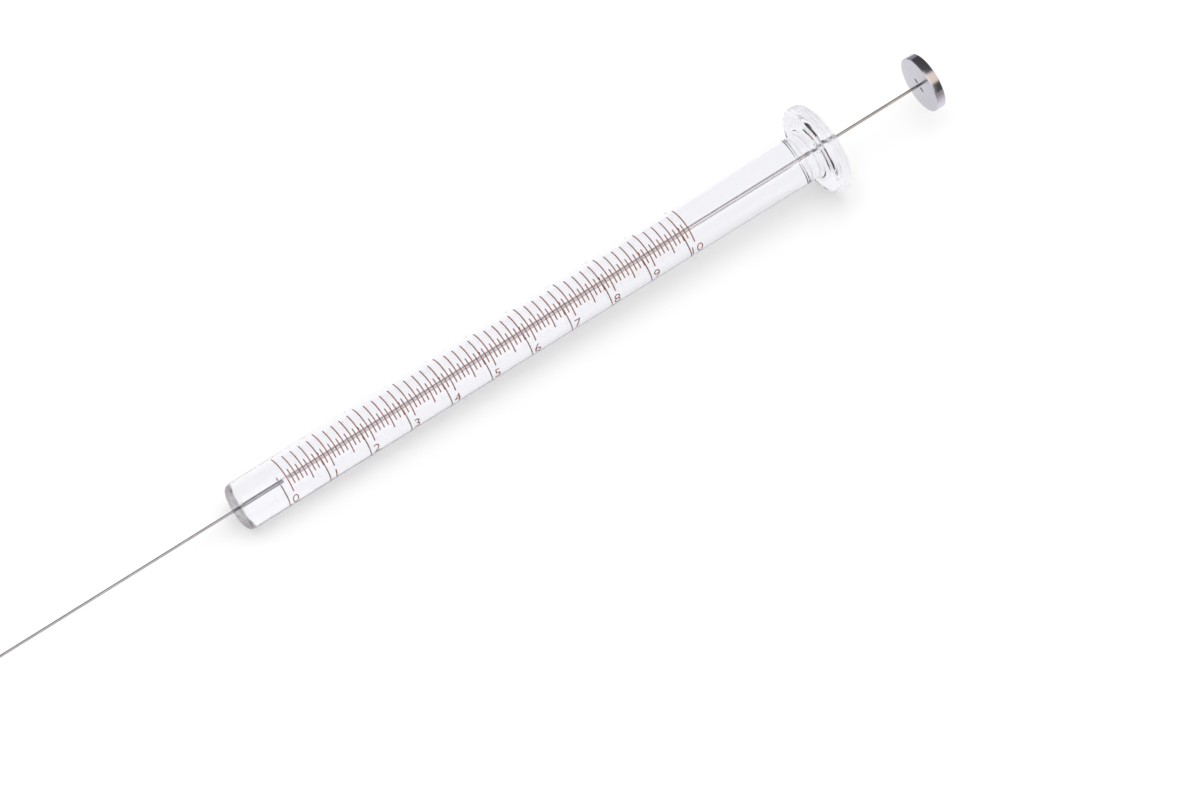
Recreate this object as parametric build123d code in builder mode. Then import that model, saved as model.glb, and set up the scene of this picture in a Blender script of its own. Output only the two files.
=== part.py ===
from build123d import *
import os
from math import pi, radians, sqrt, tan

# Microsyringe of 10 microlitres with a cemented needle, lying on its side.
# The axis is X, from the needle towards the plunger button, and Z is up.
# The origin is the centre of the barrel's face at the needle end.

# ---- Driving dimensions, in millimetres and degrees ----
# Volume and scale
capacity = 10.0            # cubic millimetres, which are microlitres
divisions = 100
scale_length = 60.0        # from the mark 0 to the last mark
zero_x = 6.55              # mark 0, from the needle end of the glass
stroke_width = 0.15
ink_thickness = 0.025      # fired enamel
scale_turn = 24.0          # reading line of the scale, from +Z towards -Y

# Glass
barrel_radius = 3.175      # drawn tube of a quarter inch
tail_length = 17.7         # plain tube past the last mark
tip_round = 0.75           # fire-polished corner at the needle end
countersink_radius = 0.95
countersink_depth = 1.1
funnel_radius = 0.55       # lead-in for the plunger
funnel_depth = 0.6
neck_depth = 0.12          # waist left where the hot glass was drawn into the flange
neck_width = 0.5
flare_radius = 1.45
flange_reach = 3.025       # how far the flange stands out of the tube
flange_thickness = 2.2     # its rim is fire-polished to a full round

# Needle and its cement
cement_film = 0.0618       # between the needle and the bore; leaves a 29 gauge needle
needle_key = 0.015         # ground off the cemented end, for the cement to grip
needle_wall = 0.0765
needle_reach = 51.0        # bare length in front of the glass
needle_gap = 0.05          # the needle ends just short of the mark 0
bevel_angle = 22.0
cement_dish = 0.3          # how far the cement sinks into the countersink

# Plunger
rod_clearance = 0.04       # leaves a wire of 0.38
rod_exposed = 14.65        # from the flange to the button as the plunger stands
start_stroke = 0.77        # from the mark 0 to the seal as the plunger stands
seal_clearance = 0.012
seal_length = 1.65
seal_nose = 0.55           # solid front of the seal
seal_wall = 0.11
button_radius = 3.81
button_thickness = 1.35
button_edge = 0.12
dent_gap = 0.12            # from the wire to the chisel dents that clamp it
dent_width = 0.3
dent_length = 0.75
dent_depth = 0.3

# ---- Sizes worked out from them ----
bore_radius = sqrt(capacity / (pi * scale_length))
tick_pitch = scale_length / divisions

waist_radius = barrel_radius - neck_depth
flange_radius = barrel_radius + flange_reach
rim_radius = flange_radius - flange_thickness / 2
neck_x = zero_x + scale_length + tail_length
flare_x = neck_x + neck_width
flange_x = flare_x + flare_radius
barrel_length = flange_x + flange_thickness
rim_x = (flange_x + barrel_length) / 2

needle_end = zero_x - needle_gap
needle_radius = bore_radius - cement_film
lumen_radius = needle_radius - needle_wall
key_radius = needle_radius - needle_key
dish_radius = needle_radius - needle_key * cement_dish / countersink_depth
bevel_length = 2 * needle_radius / tan(radians(bevel_angle))

rod_radius = bore_radius - rod_clearance
seal_radius = bore_radius - seal_clearance
seal_x = zero_x + start_stroke
seal_end = seal_x + seal_length
stub_radius = seal_radius - seal_wall
stub_length = seal_length - seal_nose
button_x = barrel_length + rod_exposed
button_end = button_x + button_thickness

os.makedirs("parts", exist_ok=True)


def finish(piece, name):
    """Label a piece and write its STEP file."""
    piece.part.label = name
    export_step(piece.part, f"parts/{name}.step")


# ---- Barrel: one piece of glass with a plain bore, flared into the flange ----
with BuildPart() as barrel:
    with BuildSketch(Plane.XY):
        with BuildLine():
            tip_face = Line((0, countersink_radius), (0, barrel_radius - tip_round))
            tip_corner = RadiusArc(
                tip_face @ 1, (tip_round, barrel_radius), tip_round
            )
            tube = Line(tip_corner @ 1, (neck_x, barrel_radius))
            flare = Spline(
                tube @ 1,
                (flare_x, waist_radius),
                (flange_x, waist_radius + flare_radius),
                tangents=((1, 0), (0, 1)),
            )
            front = Line(flare @ 1, (flange_x, rim_radius))
            rim = ThreePointArc(
                front @ 1, (rim_x, flange_radius), (barrel_length, rim_radius)
            )
            back = Line(rim @ 1, (barrel_length, funnel_radius))
            funnel = Line(back @ 1, (barrel_length - funnel_depth, bore_radius))
            bore = Line(funnel @ 1, (countersink_depth, bore_radius))
            Line(bore @ 1, tip_face @ 0)
        make_face()
    revolve(axis=Axis.X)
finish(barrel, "glass_barrel")

# ---- Needle: a fine tube with a bevelled point, cemented into the bore ----
with BuildPart() as needle:
    with BuildSketch(Plane.XY):
        with BuildLine():
            Polyline(
                (-needle_reach, lumen_radius),
                (-needle_reach, needle_radius),
                (0, needle_radius),
                (countersink_depth, key_radius),
                (needle_end, key_radius),
                (needle_end, lumen_radius),
                close=True,
            )
        make_face()
    revolve(axis=Axis.X)
    with BuildSketch(Plane.XZ):
        with BuildLine():
            Polyline(
                (-needle_reach, -needle_radius),
                (-needle_reach + bevel_length, needle_radius),
                (-needle_reach, needle_radius),
                close=True,
            )
        make_face()
    extrude(amount=needle_radius, both=True, mode=Mode.SUBTRACT)
finish(needle, "needle")

# ---- Cement: a thin sleeve around the needle and a dished plug in the countersink ----
with BuildPart() as cement:
    with BuildSketch(Plane.XY):
        with BuildLine():
            cone = Line((0, countersink_radius), (countersink_depth, bore_radius))
            sleeve = Line(cone @ 1, (needle_end, bore_radius))
            on_needle = Polyline(
                sleeve @ 1,
                (needle_end, key_radius),
                (countersink_depth, key_radius),
                (cement_dish, dish_radius),
            )
            TangentArc(on_needle @ 1, cone @ 0, tangent=(0, 1))
        make_face()
    revolve(axis=Axis.X)
finish(cement, "needle_cement")

# ---- Plunger: a wire with a thinned end, its seal, and the button staked on it ----
with BuildPart() as rod:
    with BuildSketch(Plane.YZ.offset(seal_end)):
        Circle(rod_radius)
    extrude(amount=button_end - seal_end)
    with BuildSketch(Plane.YZ.offset(seal_end)):
        Circle(stub_radius)
    extrude(amount=-stub_length)
finish(rod, "plunger_rod")

with BuildPart() as seal:
    with BuildSketch(Plane.YZ.offset(seal_x)):
        Circle(seal_radius)
    extrude(amount=seal_length)
    with BuildSketch(Plane.YZ.offset(seal_end)):
        Circle(stub_radius)
    extrude(amount=-stub_length, mode=Mode.SUBTRACT)
finish(seal, "plunger_seal")

with BuildPart() as button:
    with BuildSketch(Plane.YZ.offset(button_x)):
        Circle(button_radius)
    extrude(amount=button_thickness)
    chamfer(button.edges().filter_by(GeomType.CIRCLE), button_edge)
    with BuildSketch(Plane.YZ.offset(button_x)):
        Circle(rod_radius)
    extrude(amount=button_thickness, mode=Mode.SUBTRACT)
    dent_near = rod_radius + dent_gap
    for dent_z in (dent_near, -dent_near - dent_length):
        with BuildSketch(Plane.XY.offset(dent_z)):
            with BuildLine():
                Polyline(
                    (button_x, -dent_width / 2),
                    (button_x + dent_depth, 0),
                    (button_x, dent_width / 2),
                    close=True,
                )
            make_face()
        extrude(amount=dent_length, mode=Mode.SUBTRACT)
finish(button, "plunger_button")

# ---- Scale: strokes of enamel fired onto the tube ----
# Each kind has the ticks that it marks, and the two ends of its stroke around
# the tube, in degrees from the reading line towards +Y.
every_tick = range(divisions + 1)
scale_marks = {
    "marks_unit": ([t for t in every_tick if t % 10 == 0], -34.8, 65.3),
    "marks_half": ([t for t in every_tick if t % 10 == 5], -32.7, 16.1),
    "marks_even": ([t for t in every_tick if t % 10 in (2, 4, 6, 8)], -19.8, 53.3),
    "marks_odd": ([t for t in every_tick if t % 10 in (1, 3, 7, 9)], -19.8, 16.1),
    "marks_back": ([t for t in every_tick if t % 10 == 0], 174.7, 230.0),
}
for name, (ticks, low, high) in scale_marks.items():
    with BuildPart() as marks:
        places = [Plane.YZ.offset(zero_x + tick_pitch * tick) for tick in ticks]
        with BuildSketch(*places):
            with BuildLine():
                start = 90 + scale_turn - high
                outer = CenterArc((0, 0), barrel_radius + ink_thickness, start, high - low)
                inner = CenterArc((0, 0), barrel_radius, start, high - low)
                Line(outer @ 0, inner @ 0)
                Line(outer @ 1, inner @ 1)
            make_face()
        extrude(amount=stroke_width / 2, both=True)
    finish(marks, name)
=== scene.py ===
"""Microsyringe of 10 microlitres with a cemented needle, lying on a pale studio floor."""
import math

import bmesh
import bpy
from mathutils import Matrix, Vector, noise
from mathutils.geometry import interpolate_bezier


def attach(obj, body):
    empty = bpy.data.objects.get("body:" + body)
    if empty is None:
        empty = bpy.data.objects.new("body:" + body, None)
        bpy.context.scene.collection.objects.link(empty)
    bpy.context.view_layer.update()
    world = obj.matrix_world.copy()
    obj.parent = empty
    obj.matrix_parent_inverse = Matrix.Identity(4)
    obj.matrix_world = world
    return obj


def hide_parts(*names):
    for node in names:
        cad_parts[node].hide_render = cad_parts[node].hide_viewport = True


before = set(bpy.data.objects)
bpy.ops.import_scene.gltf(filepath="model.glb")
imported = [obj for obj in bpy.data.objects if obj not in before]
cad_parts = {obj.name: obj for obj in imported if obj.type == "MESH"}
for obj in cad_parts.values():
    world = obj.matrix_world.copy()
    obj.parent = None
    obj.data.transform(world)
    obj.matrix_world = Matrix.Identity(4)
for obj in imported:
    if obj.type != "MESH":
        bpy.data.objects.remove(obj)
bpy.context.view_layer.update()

# ---- Barrel ----
# A length of clear borosilicate tube with a bore of less than half a millimetre.
# Its needle end is ground flat with a fire-polished corner. Its other end is
# heated, drawn in a little and pressed out into the flange that two fingers hold.
mm = 0.001
barrel_radius = 3.175
barrel_length = 88.4
tip_round = 0.75
bore_radius = 0.2303
needle_end = 6.5
dish_depth = 0.3
countersink_radius = 0.95
flange_x = 86.2
flange_radius = 6.2
flange_round = 0.85
flare_top = 4.505
neck_start = (84.18, barrel_radius)
neck_floor = (84.42, 2.99)
neck_end = (84.78, 3.1)
face_rings = (5.0, 4.2, 3.4, 2.6, 1.8, 1.1)
funnel_radius = 0.55
funnel_depth = 0.6
needle_radius = 0.1685


def wire_profile(bm, points):
    """A chain of edges in the plane of the axis, from (along, out) pairs in millimetres."""
    verts = [bm.verts.new((x * mm, 0, r * mm)) for x, r in points]
    for pair in zip(verts, verts[1:]):
        bm.edges.new(pair)
    return verts


def round_corner(bm, vert, radius, segments):
    """Rounds one corner of a profile."""
    bmesh.ops.bevel(bm, geom=[vert], offset=radius * mm, offset_type="OFFSET",
                    segments=segments, profile=0.5, affect="VERTICES", material=-1)


def turn(bm, steps):
    """Turns a profile round the syringe's axis and closes the shape."""
    bmesh.ops.spin(bm, geom=bm.verts[:] + bm.edges[:], cent=(0, 0, 0), axis=(1, 0, 0),
                   angle=math.tau, steps=steps, use_merge=True, use_duplicate=False)
    bmesh.ops.remove_doubles(bm, verts=bm.verts, dist=1e-7)
    bmesh.ops.recalc_face_normals(bm, faces=bm.faces)


def piece(bm, name, body, material, crease=30.0):
    """Makes the bmesh a shown piece that rides on a body."""
    mesh = bpy.data.meshes.new(name)
    bm.to_mesh(mesh)
    bm.free()
    mesh.shade_smooth()
    mesh.set_sharp_from_angle(angle=math.radians(crease))
    made = bpy.data.objects.new(name, mesh)
    bpy.context.scene.collection.objects.link(made)
    mesh.materials.append(material)
    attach(made, body)
    return made


def new_material(name):
    """A material with its Principled BSDF, its nodes and its links."""
    made = bpy.data.materials.new(name)
    made.use_nodes = True
    return made, made.node_tree.nodes, made.node_tree.links


def bezier(start, lean, pull, end, points):
    """Points of one smooth bend of a profile, without its first one."""
    flat = [Vector((*p, 0)) for p in (start, lean, pull, end)]
    return [(p.x, p.y) for p in interpolate_bezier(*flat, points)][1:]


glass, nodes, links = new_material("clear_borosilicate")
shader = nodes["Principled BSDF"]
shader.inputs["Transmission Weight"].default_value = 1.0
shader.inputs["IOR"].default_value = 1.47
shader.inputs["Specular IOR Level"].default_value = 0.5
place = nodes.new("ShaderNodeTexCoord")
wipe = nodes.new("ShaderNodeTexNoise")
wipe.inputs["Scale"].default_value = 260
wipe.inputs["Detail"].default_value = 3
links.new(place.outputs["Object"], wipe.inputs["Vector"])
smear = nodes.new("ShaderNodeMapRange")
smear.inputs["From Min"].default_value = 0.45
smear.inputs["From Max"].default_value = 0.8
smear.inputs["To Min"].default_value = 0.0
smear.inputs["To Max"].default_value = 0.02
links.new(wipe.outputs["Fac"], smear.inputs["Value"])
# The ground face at the needle end is less smooth. A painted grey shade on all but its top, with
# a painted dark line along its upper edge, stands in for the dim light that shows there.
clear_tint = (0.955, 0.957, 1.0)
ground_roughness = 0.25
along_tube = nodes.new("ShaderNodeSeparateXYZ")
ground_face = nodes.new("ShaderNodeMapRange")
ground_face.inputs["From Min"].default_value = 0.00035
ground_face.inputs["From Max"].default_value = 0.00025
gloss = nodes.new("ShaderNodeMath")
gloss.operation = "MULTIPLY_ADD"
gloss.inputs[1].default_value = ground_roughness
links.new(place.outputs["Object"], along_tube.inputs[0])
links.new(along_tube.outputs["X"], ground_face.inputs["Value"])
links.new(ground_face.outputs["Result"], gloss.inputs[0])
links.new(smear.outputs["Result"], gloss.inputs[2])
tint_and_end_shade = nodes.new("ShaderNodeMix")
tint_and_end_shade.data_type = "RGBA"
tint_and_end_shade.inputs["A"].default_value = (*clear_tint, 1)
height = nodes.new("ShaderNodeVectorMath")
height.operation = "DOT_PRODUCT"
height.inputs[1].default_value = (0, -0.405, 0.914)
across_end = nodes.new("ShaderNodeMapRange")
across_end.inputs["From Min"].default_value = -0.004
across_end.inputs["From Max"].default_value = 0.004
end_painted_shade = nodes.new("ShaderNodeValToRGB")
while len(end_painted_shade.color_ramp.elements) < 4:
    end_painted_shade.color_ramp.elements.new(0.5)
for element, (share, colour) in zip(end_painted_shade.color_ramp.elements, (
        (0.1, (0.38, 0.37, 0.42)), (0.68, (0.3, 0.29, 0.33)),
        (0.74, (0.08, 0.08, 0.09)), (0.76, clear_tint))):
    element.position = share
    element.color = (*colour, 1)
links.new(place.outputs["Object"], height.inputs[0])
links.new(height.outputs["Value"], across_end.inputs["Value"])
links.new(across_end.outputs["Result"], end_painted_shade.inputs["Fac"])
links.new(end_painted_shade.outputs["Color"], tint_and_end_shade.inputs["B"])
links.new(ground_face.outputs["Result"], tint_and_end_shade.inputs["Factor"])
links.new(tint_and_end_shade.outputs["Result"], shader.inputs["Base Color"])
links.new(gloss.outputs[0], shader.inputs["Roughness"])

bm = bmesh.new()
outline = [(dish_depth, 0), (dish_depth, needle_radius * 0.9)]
outline += bezier(outline[-1], (dish_depth, 0.6), (0.1, 0.8), (0, countersink_radius), 10)
outline += [(0, barrel_radius), neck_start]
outline += bezier(neck_start, (84.3, barrel_radius), (84.28, neck_floor[1]), neck_floor, 8)
outline += bezier(neck_floor, (84.55, neck_floor[1]), (84.6, neck_end[1]), neck_end, 8)
outline += bezier(neck_end, (85.5, 3.12), (flange_x, 3.6), (flange_x, flare_top), 16)
outline += [(flange_x, flange_radius), (barrel_length, flange_radius)]
outline += [(barrel_length, ring) for ring in face_rings]
outline += bezier(outline[-1], (barrel_length, funnel_radius),
                  (barrel_length - 0.2, bore_radius),
                  (barrel_length - funnel_depth, bore_radius), 10)
outline += [(needle_end, bore_radius), (needle_end, 0)]
verts = wire_profile(bm, outline)
tip = next(v for v in verts if abs(v.co.x) < 1e-9 and abs(v.co.z - barrel_radius * mm) < 1e-7)
rims = [v for v in verts if abs(v.co.z - flange_radius * mm) < 1e-7]
round_corner(bm, tip, tip_round, 12)
for corner in rims:
    round_corner(bm, corner, flange_round, 14)
turn(bm, 256)
# The softened glass was pressed by hand, so the flange leans a little towards
# the needle at the back, and its face dips there round the mouth of the bore.
# Its rim is a little uneven too.
pressed_from = math.radians(66)
lean_start, lean_full, flange_lean = 84.9, 0.8, 0.2
dip_start, dip_sway, dip_radius, dip_fade, mouth_dip = 87.5, 2.5, 3.0, 2.6, 0.13
wave_start, wave_full, wave_inside, wave_depth = 84.0, 1.6, 1.2, 0.08
wave_pitch = Vector((0.12, 0.16, 0.16))
wave_seed = Vector((0.3, 1.7, 2.9))
wave_level = 0.55
back = Vector((0, math.sin(pressed_from), math.cos(pressed_from)))
for vert in bm.verts:
    along, off = vert.co.x / mm, vert.co.dot(back) / mm
    out = math.hypot(vert.co.y, vert.co.z) / mm
    if along > lean_start:
        grown = min((along - lean_start) / lean_full, 1)
        vert.co.x -= flange_lean * off / flange_radius * grown * mm
    if along > dip_start:
        sway = math.sin(math.radians(90) * max(-1, min(1, off / dip_sway)))
        fade = 1 - max(0, min(1, (out - dip_radius) / dip_fade))
        vert.co.x -= mouth_dip * (1 + sway) * fade * mm
    if along > wave_start and out > wave_inside:
        spot = Vector((along, vert.co.y / mm, vert.co.z / mm)) * wave_pitch + wave_seed
        grown = min((along - wave_start) / wave_full, 1)
        narrower = 1 - wave_depth * max(noise.noise(spot) + wave_level, 0) * grown / out
        vert.co.y *= narrower
        vert.co.z *= narrower
barrel_piece = piece(bm, "barrel_tube", "barrel", glass, 40)
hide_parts("glass_barrel")

# ---- Needle ----
# A fine stainless tube of 29 gauge, drawn, cut to length and ground to a long
# bevel. Its thinned end is cemented into the bore, up to the mark 0.
needle_reach = 51.0
lumen_radius = 0.092
bevel_angle = 22.0

draw_lines = bpy.data.node_groups.new("draw_lines", "ShaderNodeTree")
draw_lines.interface.new_socket("Fineness", in_out="INPUT", socket_type="NodeSocketFloat")
draw_lines.interface.new_socket("Lines", in_out="OUTPUT", socket_type="NodeSocketFloat")
inner, ties = draw_lines.nodes, draw_lines.links
entry, leave = inner.new("NodeGroupInput"), inner.new("NodeGroupOutput")
place = inner.new("ShaderNodeTexCoord")
stretch = inner.new("ShaderNodeMapping")
stretch.inputs["Scale"].default_value = (0.04, 1, 1)
lines = inner.new("ShaderNodeTexNoise")
lines.inputs["Detail"].default_value = 4
ties.new(place.outputs["Object"], stretch.inputs["Vector"])
ties.new(stretch.outputs["Vector"], lines.inputs["Vector"])
ties.new(entry.outputs["Fineness"], lines.inputs["Scale"])
ties.new(lines.outputs["Fac"], leave.inputs["Lines"])


def drawn_steel(name, dark, light, fineness, rough_low, rough_high):
    """Drawn stainless steel: fine lines along the axis in its colour, gloss and surface."""
    made, nodes, links = new_material(name)
    shader = nodes["Principled BSDF"]
    shader.inputs["Metallic"].default_value = 1.0
    streaks = nodes.new("ShaderNodeGroup")
    streaks.node_tree = draw_lines
    streaks.inputs["Fineness"].default_value = fineness
    tone = nodes.new("ShaderNodeValToRGB")
    tone.color_ramp.elements[0].position = 0.3
    tone.color_ramp.elements[0].color = (*dark, 1)
    tone.color_ramp.elements[1].position = 0.7
    tone.color_ramp.elements[1].color = (*light, 1)
    rough = nodes.new("ShaderNodeMapRange")
    rough.inputs["To Min"].default_value = rough_low
    rough.inputs["To Max"].default_value = rough_high
    relief = nodes.new("ShaderNodeBump")
    relief.inputs["Strength"].default_value = 0.25
    relief.inputs["Distance"].default_value = 0.000004
    links.new(streaks.outputs["Lines"], tone.inputs["Fac"])
    links.new(streaks.outputs["Lines"], rough.inputs["Value"])
    links.new(streaks.outputs["Lines"], relief.inputs["Height"])
    links.new(tone.outputs["Color"], shader.inputs["Base Color"])
    links.new(rough.outputs["Result"], shader.inputs["Roughness"])
    links.new(relief.outputs["Normal"], shader.inputs["Normal"])
    return made


needle_metal = drawn_steel("needle_tube_steel", (0.33, 0.315, 0.325), (0.45, 0.43, 0.44),
                           14000, 0.16, 0.3)
bm = bmesh.new()
wire_profile(bm, [(-needle_reach, needle_radius), (needle_end, needle_radius)])
turn(bm, 48)
core = wire_profile(bm, [(-needle_reach, lumen_radius), (needle_end, lumen_radius)])
bmesh.ops.spin(bm, geom=core + list(core[0].link_edges), cent=(0, 0, 0), axis=(1, 0, 0),
               angle=math.tau, steps=48, use_merge=True, use_duplicate=False)
bmesh.ops.remove_doubles(bm, verts=bm.verts, dist=1e-8)
open_edges = [e for e in bm.edges if e.is_boundary and e.verts[0].co.x > 0]
bmesh.ops.bridge_loops(bm, edges=open_edges)
slope = math.radians(bevel_angle)
bmesh.ops.bisect_plane(
    bm, geom=bm.verts[:] + bm.edges[:] + bm.faces[:], dist=1e-9,
    plane_co=(-needle_reach * mm, 0, -needle_radius * mm),
    plane_no=(-math.sin(slope), 0, math.cos(slope)), clear_outer=True)
ground = [e for e in bm.edges if e.is_boundary]
bmesh.ops.bridge_loops(bm, edges=ground)
bmesh.ops.recalc_face_normals(bm, faces=bm.faces)
needle_piece = piece(bm, "needle_tube", "barrel", needle_metal)
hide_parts("needle")

# ---- Cement ----
# Clear epoxy that fills the ground countersink round the needle and the thin
# gap along it. It sinks to a dish as it sets, and it is clear enough to vanish
# against the glass but for the cone where the two meet.
countersink_depth = 1.1
cement, nodes, links = new_material("set_epoxy")
shader = nodes["Principled BSDF"]
shader.inputs["Base Color"].default_value = (0.97, 0.975, 0.98, 1)
shader.inputs["Transmission Weight"].default_value = 1.0
shader.inputs["IOR"].default_value = 1.06
place = nodes.new("ShaderNodeTexCoord")
cloud = nodes.new("ShaderNodeTexNoise")
cloud.inputs["Scale"].default_value = 3000
haze = nodes.new("ShaderNodeMapRange")
haze.inputs["To Min"].default_value = 0.1
haze.inputs["To Max"].default_value = 0.35
links.new(place.outputs["Object"], cloud.inputs["Vector"])
links.new(cloud.outputs["Fac"], haze.inputs["Value"])
links.new(haze.outputs["Result"], shader.inputs["Roughness"])

film = 0.01
bm = bmesh.new()
skin = [(dish_depth + film, needle_radius + film)]
skin += bezier(skin[-1], (dish_depth + film, 0.6), (0.12, 0.8),
               (film, countersink_radius - film), 10)
skin += [(countersink_depth, bore_radius), (needle_end - film, bore_radius),
         (needle_end - film, needle_radius + film), skin[0]]
wire_profile(bm, skin)
turn(bm, 96)
cement_piece = piece(bm, "cement_plug", "barrel", cement)
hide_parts("needle_cement")

# ---- Scale ----
# A hundred divisions of a tenth of a microlitre, printed in brown ceramic
# enamel and fired onto the glass. Strokes differ in length by rank, and every
# whole microlitre is numbered.
zero_x = 6.55
tick_pitch = 0.6
reading_line = 24.0
stroke_width = 0.15
ink_thickness = 0.025
ink_sink = 0.004

enamel, nodes, links = new_material("fired_enamel")
shader = nodes["Principled BSDF"]
shader.inputs["Roughness"].default_value = 0.42
shader.inputs["Coat Weight"].default_value = 0.1
place = nodes.new("ShaderNodeTexCoord")
print_grain = nodes.new("ShaderNodeTexNoise")
print_grain.inputs["Scale"].default_value = 4200
print_grain.inputs["Detail"].default_value = 3
ink = nodes.new("ShaderNodeValToRGB")
ink.color_ramp.elements[0].position = 0.35
ink.color_ramp.elements[0].color = (0.22, 0.055, 0.022, 1)
ink.color_ramp.elements[1].position = 0.75
ink.color_ramp.elements[1].color = (0.36, 0.125, 0.06, 1)
relief = nodes.new("ShaderNodeBump")
relief.inputs["Strength"].default_value = 0.3
relief.inputs["Distance"].default_value = 0.00001
links.new(place.outputs["Object"], print_grain.inputs["Vector"])
links.new(print_grain.outputs["Fac"], ink.inputs["Fac"])
links.new(print_grain.outputs["Fac"], relief.inputs["Height"])
links.new(ink.outputs["Color"], shader.inputs["Base Color"])
links.new(relief.outputs["Normal"], shader.inputs["Normal"])


def on_tube(angle):
    """Turns what stands over the axis to an angle from the reading line, towards the back."""
    return Matrix.Rotation(math.radians(reading_line - angle), 3, "X")


def print_stroke(bm, x, low, high):
    """One stroke round the tube, between two angles, with soft shoulders."""
    half, sunk, top = stroke_width / 2, barrel_radius - ink_sink, barrel_radius + ink_thickness
    corners = [(x - half, sunk), (x - half * 0.7, top), (x + half * 0.7, top), (x + half, sunk)]
    verts = [bm.verts.new((a * mm, 0, b * mm)) for a, b in corners]
    bmesh.ops.rotate(bm, verts=verts, cent=(0, 0, 0), matrix=on_tube(low))
    end = bm.faces.new(verts)
    bmesh.ops.spin(bm, geom=verts + end.edges[:] + [end], cent=(0, 0, 0), axis=(-1, 0, 0),
                   angle=math.radians(high - low), steps=max(4, round((high - low) / 5)))


# The last digits of the strokes of each rank, and the angles they start and end at.
ranks = {
    "marks_unit": ((0,), -34.8, 65.3),
    "marks_half": ((5,), -32.7, 16.1),
    "marks_even": ((2, 4, 6, 8), -19.8, 53.3),
    "marks_odd": ((1, 3, 7, 9), -19.8, 16.1),
    "marks_back": ((0,), 174.7, 230.0),
}
for rank, (digits, low, high) in ranks.items():
    bm = bmesh.new()
    for tick in range(101):
        if tick % 10 in digits:
            print_stroke(bm, zero_x + tick_pitch * tick, low, high)
    bmesh.ops.recalc_face_normals(bm, faces=bm.faces)
    strokes = piece(bm, "printed_" + rank, "barrel", enamel, 40)
    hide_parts(rank)

# The numerals stand in the band under the long strokes, one for each microlitre.
numeral_height = 1.55
numeral_share = 0.729      # of the type's size that a figure is high
numeral_low = -71.0
numeral_thinning = -0.03
text_rows = 12
for number in range(11):
    letters = bpy.data.curves.new(f"figure_{number}", "FONT")
    letters.body = str(number)
    letters.size = numeral_height / numeral_share * mm
    letters.align_x = "CENTER"
    letters.offset = numeral_thinning * mm
    letters.resolution_u = 6
    holder = bpy.data.objects.new(f"figure_{number}", letters)
    flat = bpy.data.meshes.new_from_object(holder)
    bpy.data.objects.remove(holder)
    bm = bmesh.new()
    bm.from_mesh(flat)
    bpy.data.meshes.remove(flat)
    bmesh.ops.remove_doubles(bm, verts=bm.verts, dist=1e-7)
    for row in range(1, text_rows):
        bmesh.ops.bisect_plane(bm, geom=bm.verts[:] + bm.edges[:] + bm.faces[:], dist=1e-9,
                               plane_co=(0, numeral_height * mm * row / text_rows, 0),
                               plane_no=(0, 1, 0))
    bmesh.ops.solidify(bm, geom=bm.faces[:], thickness=(ink_thickness + ink_sink) * mm)
    at = zero_x + tick_pitch * number * 10
    for vert in bm.verts:
        across, up, proud = vert.co
        over = Vector((at * mm + across, 0, barrel_radius * mm - ink_sink * mm + abs(proud)))
        vert.co = on_tube(numeral_low + math.degrees(up / (barrel_radius * mm))) @ over
    bmesh.ops.recalc_face_normals(bm, faces=bm.faces)
    piece(bm, f"numeral_{number}", "barrel", enamel, 40)

# ---- Plunger ----
# A straightened stainless wire with a seal of white fluoropolymer on its
# thinned end. The wire is as fine as the bore, and it moves only by its button.
rod_radius = 0.1903
rod_edge = 0.02
seal_x = 7.32
seal_end = 8.97
seal_radius = 0.2183
seal_edge = 0.03
stub_radius = 0.1083
stub_start = 7.87
button_x = 103.05
button_end = 104.4
plunger_metal = drawn_steel("plunger_wire_steel", (0.54, 0.52, 0.515), (0.70, 0.68, 0.675),
                            16000, 0.16, 0.28)
bm = bmesh.new()
wire_profile(bm, [(stub_start, 0), (stub_start, stub_radius), (seal_end, stub_radius),
                  (seal_end, rod_radius - rod_edge), (seal_end + rod_edge, rod_radius),
                  (button_end, rod_radius), (button_end, 0)])
turn(bm, 48)
wire_piece = piece(bm, "plunger_wire", "plunger", plunger_metal)
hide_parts("plunger_rod")

polymer, nodes, links = new_material("seal_fluoropolymer")
shader = nodes["Principled BSDF"]
shader.inputs["Roughness"].default_value = 0.45
shader.inputs["Subsurface Weight"].default_value = 0.3
shader.inputs["Subsurface Radius"].default_value = (0.0002, 0.0002, 0.0002)
place = nodes.new("ShaderNodeTexCoord")
waxy = nodes.new("ShaderNodeTexNoise")
waxy.inputs["Scale"].default_value = 5000
tint = nodes.new("ShaderNodeValToRGB")
tint.color_ramp.elements[0].color = (0.74, 0.74, 0.74, 1)
tint.color_ramp.elements[1].color = (0.9, 0.9, 0.89, 1)
links.new(place.outputs["Object"], waxy.inputs["Vector"])
links.new(waxy.outputs["Fac"], tint.inputs["Fac"])
links.new(tint.outputs["Color"], shader.inputs["Base Color"])
bm = bmesh.new()
wire_profile(bm, [(seal_x, 0), (seal_x, seal_radius - seal_edge),
                  (seal_x + seal_edge, seal_radius), (seal_end - seal_edge, seal_radius),
                  (seal_end, seal_radius - seal_edge), (seal_end, stub_radius),
                  (stub_start, stub_radius), (stub_start, 0)])
turn(bm, 48)
seal_piece = piece(bm, "seal_plug", "plunger", polymer)
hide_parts("plunger_seal")

# ---- Button ----
# A disc turned from bright metal bar, with a broken edge. It is pushed onto the wire and clamped
# there by two chisel dents, whose torn metal is rough and painted dark, a painted shade in the
# recesses.
button_radius = 3.81
button_edge = 0.12
dent_gap, dent_width, dent_length, dent_depth = 0.12, 0.448, 0.66, 0.6
dent_turn = -66.0
chisel_start = button_x - 0.1

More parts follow.
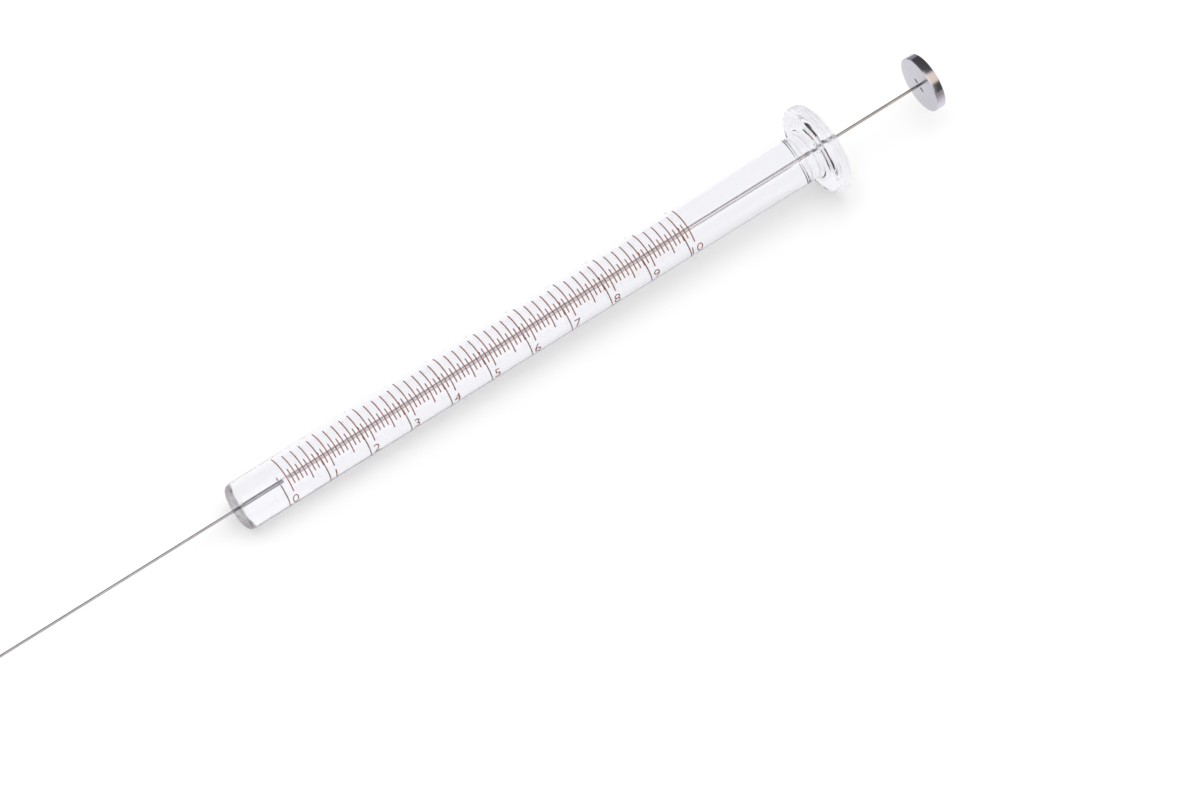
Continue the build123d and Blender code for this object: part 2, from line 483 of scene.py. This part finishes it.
turned_metal, nodes, links = new_material("turned_button_metal")
shader = nodes["Principled BSDF"]
shader.inputs["Metallic"].default_value = 1.0
place = nodes.new("ShaderNodeTexCoord")
rings = nodes.new("ShaderNodeTexWave")
rings.wave_type = "RINGS"
rings.rings_direction = "X"
rings.inputs["Scale"].default_value = 5200
rings.inputs["Distortion"].default_value = 1.5
rings.inputs["Detail"].default_value = 2
tone = nodes.new("ShaderNodeValToRGB")
tone.color_ramp.elements[0].color = (0.53, 0.515, 0.57, 1)
tone.color_ramp.elements[1].color = (0.58, 0.565, 0.62, 1)
rough = nodes.new("ShaderNodeMapRange")
rough.inputs["To Min"].default_value = 0.16
rough.inputs["To Max"].default_value = 0.26
relief = nodes.new("ShaderNodeBump")
relief.inputs["Strength"].default_value = 0.12
relief.inputs["Distance"].default_value = 0.000004
links.new(place.outputs["Object"], rings.inputs["Vector"])
for socket, node in (("Fac", tone), ("Value", rough), ("Height", relief)):
    links.new(rings.outputs["Fac"], node.inputs[socket])
links.new(tone.outputs["Color"], shader.inputs["Base Color"])
links.new(rough.outputs["Result"], shader.inputs["Roughness"])
links.new(relief.outputs["Normal"], shader.inputs["Normal"])

# The dents' dark colour is painted shade in their recesses; their roughness is their own.
dent_shade_metal, nodes, links = new_material("dent_painted_shade_metal")
shader = nodes["Principled BSDF"]
shader.inputs["Metallic"].default_value = 1.0
shader.inputs["Roughness"].default_value = 0.6
place = nodes.new("ShaderNodeTexCoord")
torn = nodes.new("ShaderNodeTexNoise")
torn.inputs["Scale"].default_value = 6000
tone = nodes.new("ShaderNodeValToRGB")
tone.color_ramp.elements[0].color = (0.1, 0.09, 0.09, 1)
tone.color_ramp.elements[1].color = (0.22, 0.2, 0.2, 1)
links.new(place.outputs["Object"], torn.inputs["Vector"])
links.new(torn.outputs["Fac"], tone.inputs["Fac"])
links.new(tone.outputs["Color"], shader.inputs["Base Color"])

bm = bmesh.new()
rim = wire_profile(bm, [(button_x, rod_radius), (button_x, button_radius),
                        (button_end, button_radius), (button_end, rod_radius)])
for corner in rim[1:3]:
    round_corner(bm, corner, button_edge, 6)
bm.verts.ensure_lookup_table()
ends = [v for v in bm.verts if len(v.link_edges) == 1]
bm.edges.new(ends)
turn(bm, 128)
button_piece = piece(bm, "button_disc", "plunger", turned_metal)

bm = bmesh.new()
for sign in (1, -1):
    wedge = [bm.verts.new((x * mm, y * mm, 0)) for x, y in (
        (chisel_start, -dent_width / 2), (button_x + dent_depth, 0),
        (chisel_start, dent_width / 2))]
    near = (rod_radius + dent_gap) * mm * sign
    bmesh.ops.translate(bm, verts=wedge, vec=(0, 0, near))
    base = bm.faces.new(wedge)
    grown = bmesh.ops.extrude_face_region(bm, geom=[base])
    tops = [g for g in grown["geom"] if isinstance(g, bmesh.types.BMVert)]
    bmesh.ops.translate(bm, verts=tops, vec=(0, 0, dent_length * mm * sign))
bmesh.ops.rotate(bm, verts=bm.verts, cent=(0, 0, 0),
                 matrix=Matrix.Rotation(math.radians(dent_turn), 3, "X"))
bmesh.ops.recalc_face_normals(bm, faces=bm.faces)
chisel_mesh = bpy.data.meshes.new("chisel")
bm.to_mesh(chisel_mesh)
chisel_mesh.materials.append(dent_shade_metal)
bm.free()
chisel = bpy.data.objects.new("chisel", chisel_mesh)
bpy.context.scene.collection.objects.link(chisel)
strike = button_piece.modifiers.new("strike", "BOOLEAN")
strike.operation = "DIFFERENCE"
strike.solver = "EXACT"
strike.material_mode = "TRANSFER"
strike.object = chisel
bpy.context.view_layer.update()
struck = bpy.data.meshes.new_from_object(
    button_piece.evaluated_get(bpy.context.evaluated_depsgraph_get()))
button_piece.modifiers.clear()
button_piece.data = struck
struck.name = "button_disc"
struck.set_sharp_from_angle(angle=math.radians(12))
bpy.data.objects.remove(chisel)
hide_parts("plunger_button")

# ---- Studio ----
# A pale floor under the syringe, which leans on its tip and its flange, a large
# soft light above, and a plain white surround.


def seen_or_mirrored(nodes, links, path):
    """One for the camera's rays, and for those that metal and glass send on."""
    highest = path.outputs["Is Camera Ray"]
    for kind in ("Is Glossy Ray", "Is Transmission Ray"):
        either = nodes.new("ShaderNodeMath")
        either.operation = "MAXIMUM"
        links.new(highest, either.inputs[0])
        links.new(path.outputs[kind], either.inputs[1])
        highest = either.outputs[0]
    return highest


def staging(bm, name, material):
    """Makes the bmesh a part of the studio."""
    mesh = bpy.data.meshes.new(name)
    bm.to_mesh(mesh)
    bm.free()
    mesh.materials.append(material)
    made = bpy.data.objects.new(name, mesh)
    bpy.context.scene.collection.objects.link(made)
    return made


floor_glow = 0.22
# Through glass, most of what is seen of the floor is a painted glow without the syringe's
# shadow, painted lighter in front than behind.
behind_share = 0.85
straight_below = 2.5       # reflections in the glass, past which the floor is the plain one
floor_paint, nodes, links = new_material("pale_floor")
nodes.remove(nodes["Principled BSDF"])
output = nodes["Material Output"]
matt = nodes.new("ShaderNodeBsdfDiffuse")
matt.inputs["Color"].default_value = (0.8, 0.8, 0.8, 1)
glow = nodes.new("ShaderNodeEmission")
path = nodes.new("ShaderNodeLightPath")
level = nodes.new("ShaderNodeMath")
level.operation = "MULTIPLY"
level.inputs[1].default_value = floor_glow
both = nodes.new("ShaderNodeAddShader")
even = nodes.new("ShaderNodeEmission")
place = nodes.new("ShaderNodeTexCoord")
parts = nodes.new("ShaderNodeSeparateXYZ")
# Painted light: the floor's glow behind glass is lighter in front than behind.
painted_lighter_front = nodes.new("ShaderNodeMapRange")
painted_lighter_front.inputs["From Min"].default_value = -0.0015
painted_lighter_front.inputs["From Max"].default_value = 0.008
painted_lighter_front.inputs["To Min"].default_value = 1.06
painted_lighter_front.inputs["To Max"].default_value = 0.83
straight = nodes.new("ShaderNodeMath")
straight.operation = "LESS_THAN"
straight.inputs[1].default_value = straight_below
through = nodes.new("ShaderNodeMath")
through.operation = "MULTIPLY"
share = nodes.new("ShaderNodeMath")
share.operation = "MULTIPLY"
share.inputs[1].default_value = behind_share
behind_glass = nodes.new("ShaderNodeMixShader")
links.new(seen_or_mirrored(nodes, links, path), level.inputs[0])
links.new(level.outputs[0], glow.inputs["Strength"])
links.new(matt.outputs[0], both.inputs[0])
links.new(glow.outputs[0], both.inputs[1])
links.new(place.outputs["Object"], parts.inputs[0])
links.new(parts.outputs["Y"], painted_lighter_front.inputs["Value"])
links.new(painted_lighter_front.outputs["Result"], even.inputs["Strength"])
links.new(path.outputs["Glossy Depth"], straight.inputs[0])
links.new(straight.outputs[0], through.inputs[0])
links.new(path.outputs["Is Transmission Ray"], through.inputs[1])
links.new(through.outputs[0], share.inputs[0])
links.new(share.outputs[0], behind_glass.inputs["Fac"])
links.new(both.outputs[0], behind_glass.inputs[1])
links.new(even.outputs[0], behind_glass.inputs[2])
links.new(behind_glass.outputs[0], output.inputs["Surface"])

rest_tip = Vector((tip_round * mm, 0, -barrel_radius * mm))
rest_flange = Vector(((flange_x + barrel_length) / 2 * mm, 0, -flange_radius * mm))
lean = rest_flange - rest_tip
bm = bmesh.new()
bmesh.ops.create_grid(bm, x_segments=1, y_segments=1, size=3.0)
bmesh.ops.rotate(bm, verts=bm.verts, cent=(0, 0, 0),
                 matrix=Matrix.Rotation(-math.atan2(lean.z, lean.x), 3, "Y"))
bmesh.ops.translate(bm, verts=bm.verts, vec=rest_tip)
staging(bm, "floor", floor_paint)

world = bpy.data.worlds.new("surround")
bpy.context.scene.world = world
world.use_nodes = True
nodes, links = world.node_tree.nodes, world.node_tree.links
path = nodes.new("ShaderNodeLightPath")
level = nodes.new("ShaderNodeMapRange")
level.inputs["To Min"].default_value = 0.88
level.inputs["To Max"].default_value = 1.0
links.new(seen_or_mirrored(nodes, links, path), level.inputs["Value"])
links.new(level.outputs["Result"], nodes["Background"].inputs["Strength"])
# Behind the syringe the room is darker just over the floor, and glass shows it
# as a thin line along its near edge.
place = nodes.new("ShaderNodeTexCoord")
parts = nodes.new("ShaderNodeSeparateXYZ")
rear = nodes.new("ShaderNodeMapRange")
rear.inputs["From Min"].default_value = 0.55
rear.inputs["From Max"].default_value = 0.8
low_down = nodes.new("ShaderNodeMapRange")
low_down.inputs["From Min"].default_value = 0.5
low_down.inputs["From Max"].default_value = 0.35
dim = nodes.new("ShaderNodeMath")
dim.operation = "MULTIPLY"
dim_seen = nodes.new("ShaderNodeMath")
dim_seen.operation = "MULTIPLY"
wall = nodes.new("ShaderNodeMix")
wall.data_type = "RGBA"
wall.inputs["A"].default_value = (1, 1, 1, 1)
wall.inputs["B"].default_value = (0.3, 0.3, 0.33, 1)
links.new(place.outputs["Generated"], parts.inputs[0])
links.new(parts.outputs["Y"], rear.inputs["Value"])
links.new(parts.outputs["Z"], low_down.inputs["Value"])
links.new(rear.outputs["Result"], dim.inputs[0])
links.new(low_down.outputs["Result"], dim.inputs[1])
links.new(dim.outputs[0], dim_seen.inputs[0])
links.new(path.outputs["Is Transmission Ray"], dim_seen.inputs[1])
links.new(dim_seen.outputs[0], wall.inputs["Factor"])
links.new(wall.outputs["Result"], nodes["Background"].inputs["Color"])

lamp = bpy.data.lights.new("key_light", "AREA")
lamp.size = 0.7
lamp.energy = 2.6
key = bpy.data.objects.new("key_light", lamp)
bpy.context.scene.collection.objects.link(key)
key.location = (0.07, 0.12, 1.06)
middle = Vector((0.045, 0, 0))
key.rotation_euler = (middle - key.location).to_track_quat("-Z", "Y").to_euler()
key.visible_glossy = False
key.visible_transmission = False

# A tent of dark and cream cards stands over the syringe. Only light that has been
# reflected once or twice comes from it, so it draws the dark lines in metal and
# glass. Its bands change between the wire and the button.
tent_radius = 0.25
tent_start, tent_end = -0.5, 0.7
tent_steps = 64
widest = 135
# Degrees from straight up, towards the back, and the card's colour there.
button_bands = [
    (-124, (1.2, 1.15, 1.18)), (-112, (0.9, 0.84, 0.86)), (-101, (0.6, 0.53, 0.54)),
    (-92, (0.42, 0.36, 0.37)), (-87, (0.1, 0.105, 0.1)), (-54, (0.085, 0.095, 0.09)),
    (-44, (1.3, 1.12, 0.87)), (-12, (1.35, 1.18, 0.94)), (0, (0.1, 0.105, 0.11)),
    (90, (0.09, 0.08, 0.085))]
wire_bands = [
    (-135, (0.45, 0.44, 0.44)), (-88, (0.45, 0.44, 0.44)), (-70, (1.45, 1.43, 1.42)),
    (6, (1.5, 1.48, 1.47)), (14, (0.2, 0.2, 0.21)), (70, (0.2, 0.2, 0.21)),
    (77, (0.95, 0.95, 0.97)), (91, (0.95, 0.95, 0.97)), (94, (0.35, 0.37, 0.42)),
    (135, (0.35, 0.37, 0.42))]
cards, nodes, links = new_material("tent_cards")
nodes.remove(nodes["Principled BSDF"])
output = nodes["Material Output"]
place = nodes.new("ShaderNodeTexCoord")
parts = nodes.new("ShaderNodeSeparateXYZ")
angle = nodes.new("ShaderNodeMath")
angle.operation = "ARCTAN2"
span = nodes.new("ShaderNodeMapRange")
span.inputs["From Min"].default_value = math.radians(-widest)
span.inputs["From Max"].default_value = math.radians(widest)
ramps = []
for bands in (wire_bands, button_bands):
    ramp = nodes.new("ShaderNodeValToRGB")
    elements = ramp.color_ramp.elements
    while len(elements) < len(bands):
        elements.new(0.5)
    for element, (degrees, colour) in zip(elements, bands):
        element.position = (degrees + widest) / (2 * widest)
        element.color = (*colour, 1)
    links.new(span.outputs["Result"], ramp.inputs["Fac"])
    ramps.append(ramp)
over_button = nodes.new("ShaderNodeMapRange")
over_button.inputs["From Min"].default_value = 0.15
over_button.inputs["From Max"].default_value = 0.164
card_colour = nodes.new("ShaderNodeMix")
card_colour.data_type = "RGBA"
card_light = nodes.new("ShaderNodeEmission")
clear = nodes.new("ShaderNodeBsdfTransparent")
path = nodes.new("ShaderNodeLightPath")
reflected = nodes.new("ShaderNodeMath")
reflected.operation = "COMPARE"
reflected.inputs[1].default_value = 1.5
reflected.inputs[2].default_value = 1.0
fainter = nodes.new("ShaderNodeMapRange")
fainter.inputs["From Min"].default_value = 1
fainter.inputs["From Max"].default_value = 2
fainter.inputs["To Min"].default_value = 1
fainter.inputs["To Max"].default_value = 0.15
choose = nodes.new("ShaderNodeMixShader")
links.new(place.outputs["Object"], parts.inputs[0])
links.new(parts.outputs["Y"], angle.inputs[0])
links.new(parts.outputs["Z"], angle.inputs[1])
links.new(angle.outputs[0], span.inputs["Value"])
links.new(parts.outputs["X"], over_button.inputs["Value"])
links.new(over_button.outputs["Result"], card_colour.inputs["Factor"])
links.new(ramps[0].outputs["Color"], card_colour.inputs["A"])
links.new(ramps[1].outputs["Color"], card_colour.inputs["B"])
links.new(card_colour.outputs["Result"], card_light.inputs["Color"])
links.new(path.outputs["Glossy Depth"], reflected.inputs[0])
links.new(path.outputs["Glossy Depth"], fainter.inputs["Value"])
links.new(fainter.outputs["Result"], card_light.inputs["Strength"])
links.new(reflected.outputs[0], choose.inputs["Fac"])
links.new(clear.outputs[0], choose.inputs[1])
links.new(card_light.outputs[0], choose.inputs[2])
links.new(choose.outputs[0], output.inputs["Surface"])
bm = bmesh.new()
rib = [bm.verts.new((x, 0, tent_radius)) for x in (tent_start, tent_end)]
bmesh.ops.rotate(bm, verts=rib, cent=(0, 0, 0), matrix=Matrix.Rotation(math.radians(90), 3, "X"))
bmesh.ops.spin(bm, geom=rib + [bm.edges.new(rib)], cent=(0, 0, 0), axis=(-1, 0, 0),
               angle=math.pi, steps=tent_steps)
# In front it goes on under the tube as far as the flange, and behind it goes on
# from there, down its back and over the floor.
floor_under = -0.0035
front_start, front_edge = -0.05, -0.0028
card_change, rear_edge = 0.0835, 0.014
bm.faces.new([bm.verts.new((x, y, floor_under)) for x, y in (
    (front_start, front_edge), (card_change, front_edge),
    (card_change, -tent_radius), (front_start, -tent_radius))])
rear_card = [bm.verts.new(p) for p in (
    (card_change, tent_radius, 0), (tent_end, tent_radius, 0),
    (tent_end, tent_radius, floor_under), (card_change, tent_radius, floor_under),
    (tent_end, rear_edge, floor_under), (card_change, rear_edge, floor_under))]
bm.faces.new(rear_card[:4])
bm.faces.new((rear_card[3], rear_card[2], rear_card[4], rear_card[5]))
tent = staging(bm, "reflection_tent", cards)

# The card under the button has its origin set back, so it takes the button's bands.
set_back = 0.1
card_start, card_end, card_edge, card_under = 0.0995, 0.3, -0.0045, -0.0064
bm = bmesh.new()
bm.faces.new([bm.verts.new((x + set_back, y, card_under)) for x, y in (
    (card_start, card_edge), (card_end, card_edge),
    (card_end, -tent_radius), (card_start, -tent_radius))])
button_card = staging(bm, "button_card", cards)
button_card.location.x = -set_back
for shade in (tent, button_card):
    shade.visible_camera = shade.visible_diffuse = shade.visible_shadow = False

# The camera is far away with a long lens, above the needle side.
lens_pixels, picture_pixels = 8617.7, 1200
camera = bpy.data.cameras.new("camera")
camera.sensor_width = 36
camera.lens = camera.sensor_width * lens_pixels / picture_pixels
viewer = bpy.data.objects.new("camera", camera)
bpy.context.scene.collection.objects.link(viewer)
viewer.location = (-0.25259, -0.42838, 0.92059)
turn_angle, height_angle = math.radians(-35.604), math.radians(60.991)
towards = Vector((math.sin(turn_angle) * math.cos(height_angle),
                  -math.cos(turn_angle) * math.cos(height_angle), math.sin(height_angle)))
viewer.rotation_euler = (-towards).to_track_quat("-Z", "Y").to_euler()
bpy.context.scene.camera = viewer
bpy.context.scene.view_settings.view_transform = "Standard"
# Light that enters the tube's ends is caught in it, and leaves it only after many turns.
followed = 32
bpy.context.scene.cycles.max_bounces = followed
bpy.context.scene.cycles.glossy_bounces = followed
bpy.context.scene.cycles.transmission_bounces = followed
